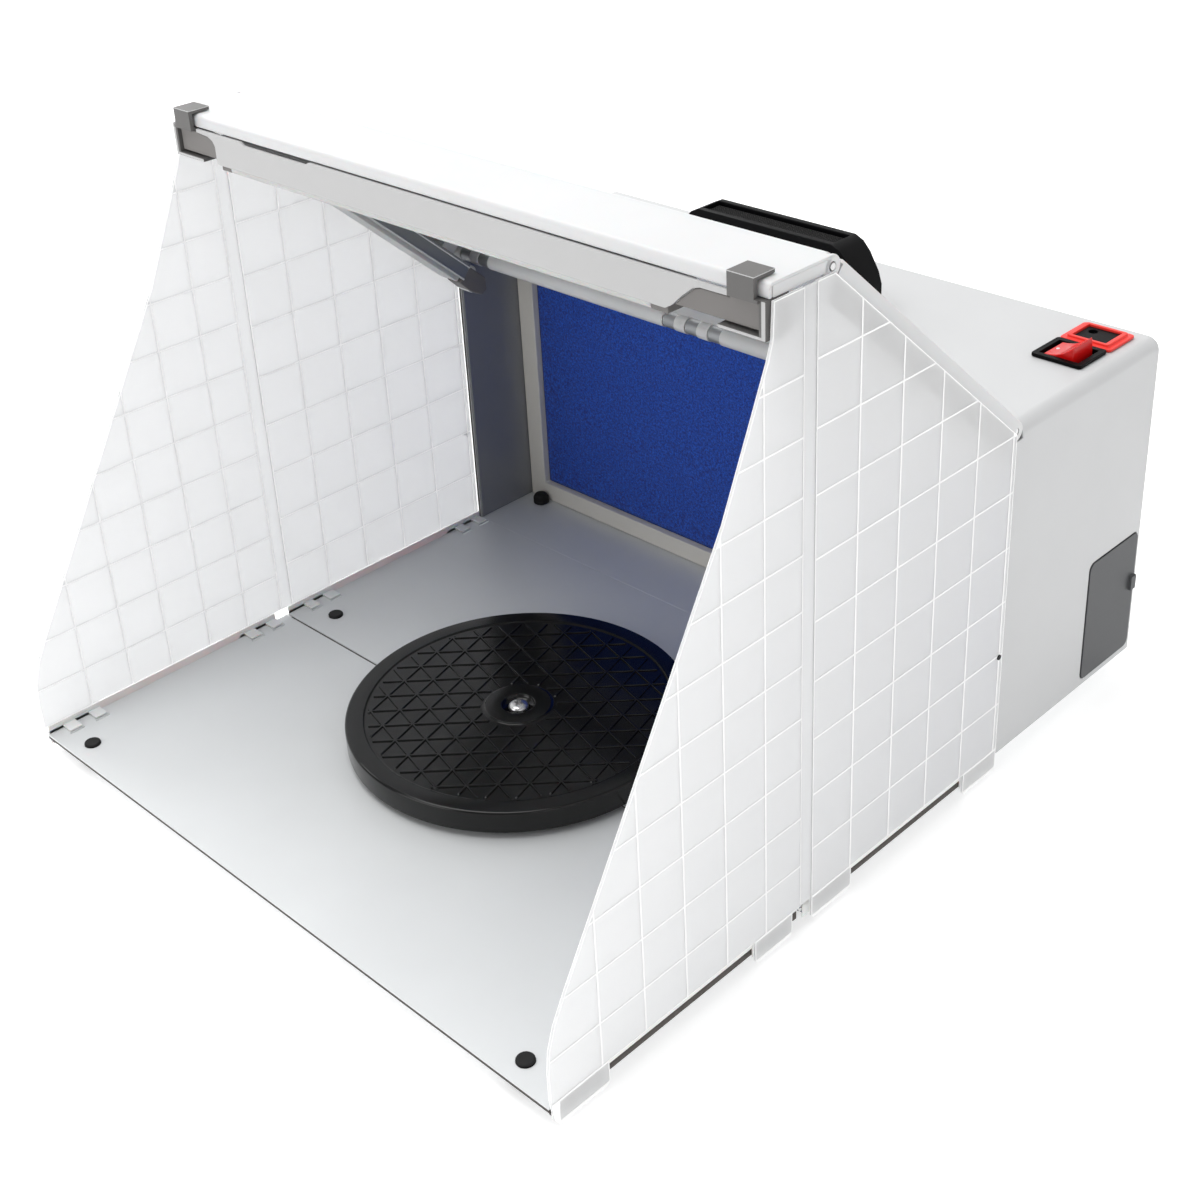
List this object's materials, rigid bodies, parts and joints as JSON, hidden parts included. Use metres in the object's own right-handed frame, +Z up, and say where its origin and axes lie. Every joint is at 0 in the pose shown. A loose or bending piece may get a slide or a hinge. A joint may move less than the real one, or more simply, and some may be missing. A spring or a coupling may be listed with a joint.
{
  "type": "portable fume extraction booth",
  "caption": "Suitcase-like fan box with a blue filter, folding floor, translucent gridded side screens, folding roof with a light bar, carrying handle and a loose turntable.",
  "frame": {"origin": "on the ground, under the centre of the outer box of the open booth", "axes": "+Z up, +Y to the rear where the outlet is, -Y out of the open front, +X to the side with the power switch and the accessory door"},
  "size_m": [0.476, 0.557, 0.3914],
  "materials": {
    "white_paint": "white powder coat, satin",
    "grey_sheet": "plain pale grey sheet, satin",
    "dark_wall": "dark grey, satin",
    "steel_pin": "bright steel",
    "zinc": "dull zinc",
    "frosted": "translucent white, embossed grid",
    "clip_plastic": "milky translucent moulding",
    "roof_white": "white, slightly glossy",
    "lamp_grey": "light grey moulding",
    "cap_grey": "dark grey-brown moulding",
    "tray_grey": "grey anodised",
    "diffuser": "milky translucent",
    "frame_beige": "beige-grey, matt",
    "filter_blue": "blue fibre mat",
    "black_plastic": "black, satin",
    "black_rubber": "black rubber",
    "table_black": "black, glossy moulding",
    "red_plastic": "red, translucent look",
    "door_grey": "dark grey, matt",
    "fan_grey": "dark grey moulding"
  },
  "bodies": {
    "fan_box": {"housing_shell": "white_paint", "rear_panel": "white_paint", "recess_liner": "dark_wall", "filter_frame": "frame_beige", "filter_pad": "filter_blue", "filter_guard": "zinc", "fan_shroud": "zinc", "fan_motor": "black_plastic", "outlet_duct": "black_plastic", "compartment_tray": "dark_wall", "switch_bezel": "black_plastic", "socket_bezel": "red_plastic", "socket_insert": "black_plastic", "carry_handle": "black_plastic", "handle_grip": "black_rubber", "filter_peg_left": "black_rubber", "filter_peg_right": "black_rubber", "roof_hinge_rail": "zinc", "roof_hinge_pin": "steel_pin", "floor_rear": "grey_sheet", "clips_rear_left": "clip_plastic", "clips_rear_right": "clip_plastic", "floor_hinge_pin_left": "steel_pin", "floor_hinge_pin_right": "steel_pin", "foot_middle_left": "black_rubber", "foot_middle_right": "black_rubber", "foot_rear_left": "black_rubber", "foot_rear_right": "black_rubber"},
    "fan": {"fan_rotor": "fan_grey"},
    "power_rocker": {"switch_rocker": "red_plastic"},
    "door": {"accessory_door": "door_grey"},
    "front_floor": {"floor_front": "grey_sheet", "clips_front_left": "clip_plastic", "clips_front_right": "clip_plastic", "foot_front_left": "black_rubber", "foot_front_right": "black_rubber"},
    "front_screen_left": {"screen_front_left": "frosted"},
    "front_screen_right": {"screen_front_right": "frosted"},
    "rear_screen_left": {"screen_rear_left": "frosted"},
    "rear_screen_right": {"screen_rear_right": "frosted"},
    "rear_roof": {"roof_rear": "roof_white", "ridge_pin": "steel_pin"},
    "side_lamp_left": {"side_lamp_tray_left": "tray_grey", "side_lamp_diffuser_left": "diffuser", "side_lamp_end_left": "cap_grey"},
    "side_lamp_right": {"side_lamp_tray_right": "tray_grey", "side_lamp_diffuser_right": "diffuser", "side_lamp_end_right": "cap_grey"},
    "front_roof": {"roof_front": "roof_white", "lamp_holder_left": "lamp_grey", "lamp_holder_right": "cap_grey"},
    "lamp_bar": {"lamp_bar_body": "lamp_grey", "lamp_bar_diffuser": "diffuser", "lamp_bar_end_left": "cap_grey", "lamp_bar_end_right": "cap_grey"},
    "turntable_stand": {"turntable_base": "table_black", "turntable_race": "steel_pin", "turntable_pad": "black_rubber"},
    "turntable": {"turntable_disc": "table_black", "turntable_screw": "steel_pin"}
  },
  "joints": [
    {"name": "roof_fold", "type": "hinge", "parent": "fan_box", "child": "rear_roof", "pos_m": [0, 0.1045, 0.2325], "axis": [1, 0, 0], "range_deg": [0, 40]},
    {"name": "flap_fold", "type": "hinge", "parent": "rear_roof", "child": "front_roof", "pos_m": [0, -0.0652, 0.3829], "axis": [1, 0, 0], "range_deg": [0, 44]},
    {"name": "lamp_bar_tilt", "type": "hinge", "parent": "front_roof", "child": "lamp_bar", "pos_m": [0, -0.11, 0.378], "axis": [-1, 0, 0], "range_deg": [0, 15]},
    {"name": "side_lamp_tilt_left", "type": "hinge", "parent": "rear_roof", "child": "side_lamp_left", "pos_m": [-0.2274, 0.027, 0.2883], "axis": [0, 0.7483, -0.6633], "range_deg": [0, 25]},
    {"name": "side_lamp_tilt_right", "type": "hinge", "parent": "rear_roof", "child": "side_lamp_right", "pos_m": [0.2274, 0.027, 0.2883], "axis": [0, -0.7483, 0.6633], "range_deg": [0, 25]},
    {"name": "rear_screen_swing_left", "type": "hinge", "parent": "fan_box", "child": "rear_screen_left", "pos_m": [-0.2354, 0, 0.0028], "axis": [0, -1, 0], "range_deg": [0, 90]},
    {"name": "rear_screen_swing_right", "type": "hinge", "parent": "fan_box", "child": "rear_screen_right", "pos_m": [0.2354, 0, 0.0028], "axis": [0, 1, 0], "range_deg": [0, 90]},
    {"name": "floor_fold", "type": "hinge", "parent": "fan_box", "child": "front_floor", "pos_m": [0, -0.0858, 0.0127], "axis": [-1, 0, 0], "range_deg": [0, 90]},
    {"name": "front_screen_swing_left", "type": "hinge", "parent": "front_floor", "child": "front_screen_left", "pos_m": [-0.2354, 0, 0.0028], "axis": [0, -1, 0], "range_deg": [0, 90]},
    {"name": "front_screen_swing_right", "type": "hinge", "parent": "front_floor", "child": "front_screen_right", "pos_m": [0.2354, 0, 0.0028], "axis": [0, 1, 0], "range_deg": [0, 90]},
    {"name": "turntable_lift", "type": "slide", "parent": "fan_box", "child": "turntable_stand", "axis": [0, -0.4751, 0.8799], "range_m": [0, 0.3575]},
    {"name": "turntable_spin", "type": "hinge", "parent": "turntable_stand", "child": "turntable", "pos_m": [-0.005, -0.0715, 0.03], "axis": [0, 0, 1], "continuous": true},
    {"name": "fan_spin", "type": "hinge", "parent": "fan_box", "child": "fan", "pos_m": [0, 0.2075, 0.122], "axis": [0, 1, 0], "continuous": true},
    {"name": "switch_rock", "type": "hinge", "parent": "fan_box", "child": "power_rocker", "pos_m": [0.205, 0.206, 0.23], "axis": [0, 1, 0], "range_deg": [0, 16]},
    {"name": "door_swing", "type": "hinge", "parent": "fan_box", "child": "door", "pos_m": [0.2356, 0.2017, 0.06], "axis": [0, 0, -1], "range_deg": [0, 95]}
  ],
  "couplings": [
    {"joint": "front_screen_swing_left", "follows": "floor_fold", "ratio": 1},
    {"joint": "front_screen_swing_right", "follows": "floor_fold", "ratio": 1},
    {"joint": "turntable_lift", "follows": "floor_fold", "m_per_rad": 0.2273}
  ]
}
